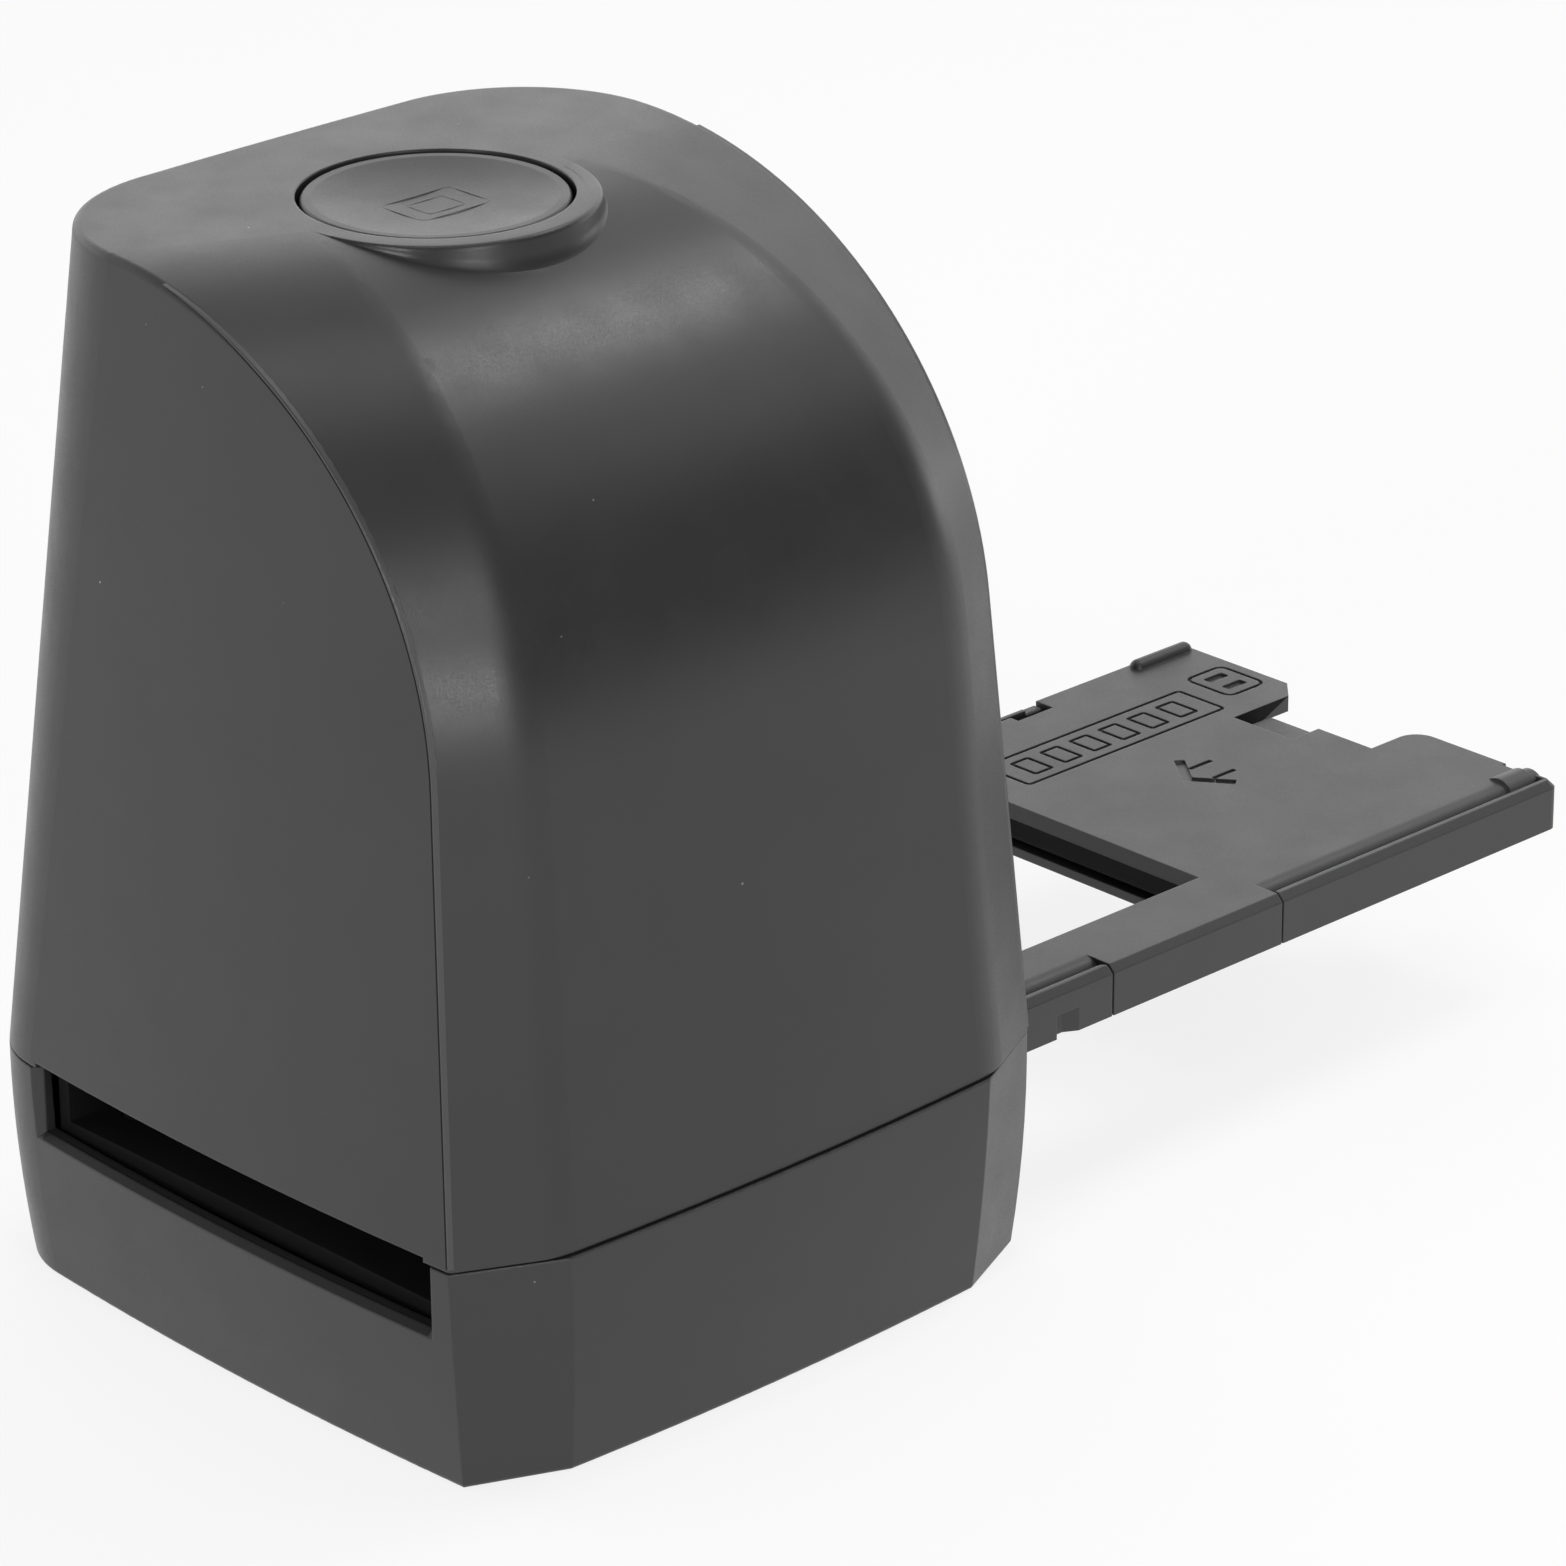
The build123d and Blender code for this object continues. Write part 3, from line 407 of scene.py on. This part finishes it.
def slot_sills():
    up = SLOT_Z / SEAM
    sill_x = HALF_SEAM - FOOT_DRAW + up * FOOT_DRAW + 4 * BELLY * up * (1 - up) - BEVEL
    steps = ((-0.25, 0.0), (0.0, 0.012), (0.12, -0.10), (0.78, -0.76))
    for hand, word in HANDS:
        rows = []
        for i in range(SILL_STEPS + 1):
            y = -SLOT_HALF + SILL_IN + (2 * SLOT_HALF - 2 * SILL_IN) * i / SILL_STEPS
            x = sill_x - side_draw(y) + SILL_PROUD
            rows.append([Vector((hand * (x + dx), y, SLOT_Z + dz + SILL_PROUD)) for dx, dz in steps])
        # sheets on the sills in the darker finish: painted shade
        add_mesh(f"slot_sill_{word}", *skin(rows, False), "charcoal_shell", "housing", look="sill_painted_shade")


# ---- button: a faint film-frame sign in the dish --------------------------
def button_bead(name, half_x, half_y, r, width):
    """Thin closed bead along a rounded box, laid in the dish."""
    ring = rounded(-half_x, BUTTON_Y - half_y, half_x, BUTTON_Y + half_y, r)
    rows = []
    n = len(ring)
    for k in range(n):
        x, y = ring[k]
        ahead_x, ahead_y = ring[(k + 1) % n]
        behind_x, behind_y = ring[k - 1]
        run = Vector((ahead_x - behind_x, ahead_y - behind_y)).normalized()
        side = Vector((-run.y, run.x))
        row = []
        for off, up in ((-0.5, -0.01), (-0.3, 0.03), (0.3, 0.03), (0.5, -0.01)):
            px, py = x + side.x * off * width, y + side.y * off * width
            row.append(Vector((px, py, dish_z(px, py) + up)))
        rows.append(row)
    rows.append(rows[0])
    add_mesh(name, *skin(rows, False), "charcoal_shell", "button", look="charcoal_button")


# ---- tray: a stub of rail and black strips of painted shade in the gaps ---
END_SHRINK = 0.12                     # the ends of a strip close in by this much
RAIL_STUB = ((29.9, 21.1), (31.45, 21.1), (31.45, 25.6), (31.2, 25.85), (30.15, 25.85), (29.9, 25.6))
# black strip in the gap between the near rail and the hinge barrel: painted shade
NEAR_GAP_SHADE = ((-30.02, 23.6), (-29.2, 23.6), (-29.2, 24.1), (-29.35, 24.25), (-30.02, 24.25))
# black strip on the tongue under the cover's latch edge: painted shade
LATCH_GAP_SHADE = ((8.45, 21.1), (10.0, 21.1), (10.0, 21.5), (8.45, 21.5))


def tray_strip(name, x0, x1, section, slot_name):
    """Prism along X over a section of (y, z) points."""
    n = len(section)
    my = sum(y for y, z in section) / n
    mz = sum(z for y, z in section) / n
    rows = []
    for x, shrink in ((x0, END_SHRINK), (x0 + END_SHRINK, 0.0), (x1 - END_SHRINK, 0.0), (x1, END_SHRINK)):
        rows.append([(x, y + (my - y) * shrink, z + (mz - z) * shrink) for y, z in section])
    points, faces = skin(rows, True)
    faces += [tuple(range(n)), tuple(range(3 * n, 4 * n))]
    add_mesh(name, points, faces, slot_name, "tray", False)


def tray_strips():
    tray_strip("far_rail_stub", 111.75, 114.7, RAIL_STUB, "charcoal_tray")
    tray_strip("near_gap_shade_outer", 93.3, 136.5, NEAR_GAP_SHADE, "black_inner")
    tray_strip("near_gap_shade_inner", 45.2, 62.0, NEAR_GAP_SHADE, "black_inner")
    tray_strip("latch_gap_shade_strip", 129.0, 133.7, LATCH_GAP_SHADE, "black_inner")


# ---- tray cover: the same lid with marks cut into its top -----------------
MARK_LOW, MARK_HIGH = TRAY_TOP - 0.35, TRAY_TOP + 1
LINE_W = 0.5
STRIP_BOX = (95.0, 12.8, 130.5, 21.2, 0.8)      # x0, y0, x1, y1, corner radius
SIGN_BOX = (133.4, 15.0, 140.4, 23.2, 1.4)
FRAME_COUNT, FRAME_X, FRAME_PITCH, FRAME_W, FRAME_Y = 6, 98.0, 5.2, 3.4, (14.6, 19.4)
SIGN_BARS = ((135.2, 16.8, 138.6, 18.2, 0.3), (135.2, 20.0, 138.6, 21.4, 0.3))
ARROW_HEAD = ((109.6, 0.6), (113.4, 5.8), (114.5, 5.0), (111.2, 0.6), (114.5, -3.8), (113.4, -4.6))
ARROW_BARS_X, ARROW_BARS_Y, ARROW_W = (113.2, 116.4), (-1.4, 2.6), 0.7


def ring_cutter(outer, inner):
    """Upright prism between an outer and an inner ring of plan points."""
    rows = [[(x, y, z) for x, y in ring] for ring, z in (
        (outer, MARK_HIGH), (outer, MARK_LOW), (inner, MARK_LOW), (inner, MARK_HIGH))]
    return skin(rows + rows[:1], True)


def solid_cutter(ring):
    n = len(ring)
    points = [(x, y, z) for z in (MARK_LOW, MARK_HIGH) for x, y in ring]
    faces = [tuple(range(n)), tuple(range(n, 2 * n))]
    faces += [(k, (k + 1) % n, n + (k + 1) % n, n + k) for k in range(n)]
    return points, faces


def bar(x0, y0, x1, y1, w):
    """Plan ring of a straight stroke."""
    d = Vector((x1 - x0, y1 - y0)).normalized()
    n = Vector((-d.y, d.x)) * w / 2
    e = d * w / 2
    return [(x0 - e.x + n.x, y0 - e.y + n.y), (x0 - e.x - n.x, y0 - e.y - n.y),
            (x1 + e.x - n.x, y1 + e.y - n.y), (x1 + e.x + n.x, y1 + e.y + n.y)]


def cover_marks():
    """Cutters for two boxes, a row of blank film frames, and an arrow."""
    marks = [ring_cutter(rounded(*box), rounded(*box, LINE_W)) for box in (STRIP_BOX, SIGN_BOX)]
    for k in range(FRAME_COUNT):
        x = FRAME_X + k * FRAME_PITCH
        box = (x, FRAME_Y[0], x + FRAME_W, FRAME_Y[1], 0.5)
        marks.append(ring_cutter(rounded(*box), rounded(*box, 0.55)))
    marks += [solid_cutter(rounded(*box)) for box in SIGN_BARS]
    marks.append(solid_cutter(ARROW_HEAD))
    marks += [solid_cutter(bar(ARROW_BARS_X[0], y, ARROW_BARS_X[1], y, ARROW_W)) for y in ARROW_BARS_Y]
    return marks


def engraved_cover():
    lid = link_object("tray_cover_engraved", nodes["tray_cover"].data.copy())
    weld = lid.modifiers.new("weld", "WELD")
    weld.merge_threshold = 0.00001
    cutters = []
    for n, (points, faces) in enumerate(cover_marks()):
        cutter = add_mesh(f"mark_cutter_{n}", points, faces, "charcoal_tray", None, False)
        cutters.append(cutter)
        cut = lid.modifiers.new(f"cut_{n}", "BOOLEAN")
        cut.operation = "DIFFERENCE"
        cut.solver = "EXACT"
        cut.object = cutter
    bpy.context.view_layer.update()
    done = bpy.data.meshes.new_from_object(lid.evaluated_get(bpy.context.evaluated_depsgraph_get()))
    lid.modifiers.clear()
    lid.data = done
    for cutter in cutters:
        bpy.data.objects.remove(cutter, do_unlink=True)
    # second slot black_inner, laid on lid faces that sit in shadow: painted shade
    done.materials.append(finish["black_inner"])
    for poly in done.polygons:
        poly.use_smooth = False
        mid = poly.center / MM
        # faces of the window's far wall down in the undercut: painted shade
        window_undercut_shade = abs(mid.x - WINDOW_END) < 0.05 and abs(mid.y) < 21 and mid.z < 25.05
        # faces of the lid's edge along the latch gap: painted shade
        latch_gap_face_shade = abs(mid.y - LATCH_Y) < 0.05 and mid.x < 134.5
        if window_undercut_shade or latch_gap_face_shade:
            poly.material_index = 1
    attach(lid, "cover")
    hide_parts("tray_cover")


# ---- studio --------------------------------------------------------------
WORLD_FACING = (0.47, 0.88, 0)        # the bright wall behind the object
WALL_LEVEL, SKY_LEVEL, BASE_LEVEL = 2.1, 0.30, 0.03


def floor():
    mesh = bpy.data.meshes.new("floor")
    bm = bmesh.new()
    bmesh.ops.create_grid(bm, x_segments=4, y_segments=4, size=4.0)
    bm.to_mesh(mesh)
    bm.free()
    obj = link_object("floor", mesh)
    mat, _, shader, _ = new_tree("floor_paper")
    shader.inputs["Base Color"].default_value = (0.20, 0.20, 0.20, 1)
    shader.inputs["Roughness"].default_value = 0.9
    shader.inputs["Specular IOR Level"].default_value = 0.0
    shader.inputs["Emission Color"].default_value = (1, 1, 1, 1)
    shader.inputs["Emission Strength"].default_value = 0.80
    mesh.materials.append(mat)


def lamp(name, place, aim_z, size, watts, aim_y=0, size_y=None):
    """Area lamp aimed at a point on the object's middle plane."""
    light = bpy.data.lights.new(name, "AREA")
    light.shape = "RECTANGLE"
    light.size = size
    light.size_y = size_y or size
    light.energy = watts
    obj = link_object(name, light)
    obj.location = place
    aim = Vector((0, aim_y, aim_z))
    obj.rotation_euler = (aim - Vector(place)).to_track_quat("-Z", "Y").to_euler()


def lamps():
    lamp("overhead_box", (0.1, 0.1, 1.3), 0.1, 0.6, 2.0)
    lamp("right_top_box", (0.74, -0.05, 1.08), 0.11, 0.34, 2.9, aim_y=-0.02)
    lamp("right_front_soft", (0.82, -0.48, 0.84), 0.1, 0.40, 0.8, aim_y=-0.02)
    lamp("front_upper", (-0.19, -1.05, 0.76), 0.1, 0.35, 2.1)
    lamp("front_strip", (-0.31, -1.15, 0.30), 0.09, 0.26, 3.2, size_y=0.20)
    lamp("left_fill", (-1.05, -0.32, 0.44), 0.07, 0.35, 5)
    lamp("right_strip", (1.25, -0.28, 0.12), 0.06, 0.30, 0.7, size_y=0.16)


def soft_world():
    """White for the camera; for the object, a bright wall behind and a dim sky."""
    world = bpy.data.worlds.new("studio")
    bpy.context.scene.world = world
    world.use_nodes = True
    tree = world.node_tree
    tree.nodes.clear()

    def smooth_span(value, a, b, lo, hi):
        node = tree.nodes.new("ShaderNodeMapRange")
        node.interpolation_type = "SMOOTHSTEP"
        for key, number in (("From Min", a), ("From Max", b), ("To Min", lo), ("To Max", hi)):
            node.inputs[key].default_value = number
        link(tree, value, node.inputs["Value"])
        return node.outputs["Result"]

    out = tree.nodes.new("ShaderNodeOutputWorld")
    soft = tree.nodes.new("ShaderNodeBackground")
    seen = tree.nodes.new("ShaderNodeBackground")
    seen.inputs["Color"].default_value = (1, 1, 1, 1)
    where = tree.nodes.new("ShaderNodeTexCoord").outputs["Generated"]
    split = tree.nodes.new("ShaderNodeSeparateXYZ")
    link(tree, where, split.inputs[0])
    height = split.outputs["Z"]
    facing = tree.nodes.new("ShaderNodeVectorMath")
    facing.operation = "DOT_PRODUCT"
    facing.inputs[1].default_value = WORLD_FACING
    link(tree, where, facing.inputs[0])
    wall = combine(tree, "MULTIPLY", smooth_span(facing.outputs["Value"], 0.0, 0.65, 0, WALL_LEVEL),
                   smooth_span(height, 0.35, 0.95, 1, 0))
    lit = combine(tree, "ADD", wall, smooth_span(height, 0.4, 1.0, 0, SKY_LEVEL))
    level = tree.nodes.new("ShaderNodeMath")
    level.operation = "ADD"
    link(tree, lit, level.inputs[0])
    level.inputs[1].default_value = BASE_LEVEL
    link(tree, level.outputs[0], soft.inputs["Strength"])
    path = tree.nodes.new("ShaderNodeLightPath")
    pick = tree.nodes.new("ShaderNodeMixShader")
    link(tree, path.outputs["Is Camera Ray"], pick.inputs[0])
    link(tree, soft.outputs[0], pick.inputs[1])
    link(tree, seen.outputs[0], pick.inputs[2])
    link(tree, pick.outputs[0], out.inputs["Surface"])


# ---- camera --------------------------------------------------------------
CAMERA_PLACE = (-0.4880, -0.5574, 0.3750)
YAW, PITCH, ROLL = (math.radians(a) for a in (46.49, 23.13, 0.39))
PHOTO_PIXELS, FOCAL_PIXELS, SENSOR = 1566, 7213, 36


def photo_camera():
    cy, sy, cp, sp = math.cos(YAW), math.sin(YAW), math.cos(PITCH), math.sin(PITCH)
    ahead = Vector((cy * cp, sy * cp, -sp))
    right = Vector((sy, -cy, 0))
    down = ahead.cross(right)
    tilt_right = math.cos(ROLL) * right + math.sin(ROLL) * down
    tilt_down = -math.sin(ROLL) * right + math.cos(ROLL) * down
    data = bpy.data.cameras.new("camera")
    data.sensor_width = SENSOR
    data.lens = FOCAL_PIXELS / PHOTO_PIXELS * SENSOR
    data.clip_start = 0.01
    camera = link_object("camera", data)
    turn = Matrix((tilt_right, -tilt_down, -ahead)).transposed().to_4x4()
    camera.matrix_world = Matrix.Translation(CAMERA_PLACE) @ turn
    scene = bpy.context.scene
    scene.camera = camera
    scene.render.resolution_x = PHOTO_PIXELS
    scene.render.resolution_y = PHOTO_PIXELS
    scene.view_settings.view_transform = "Standard"


rim_lips()
boss_collar()
slot_sills()
button_bead("button_mark_frame", 5.0, 3.6, 0.9, 0.34)
button_bead("button_mark_view", 2.6, 2.0, 0.5, 0.30)
tray_strips()
engraved_cover()
floor()
lamps()
soft_world()
photo_camera()
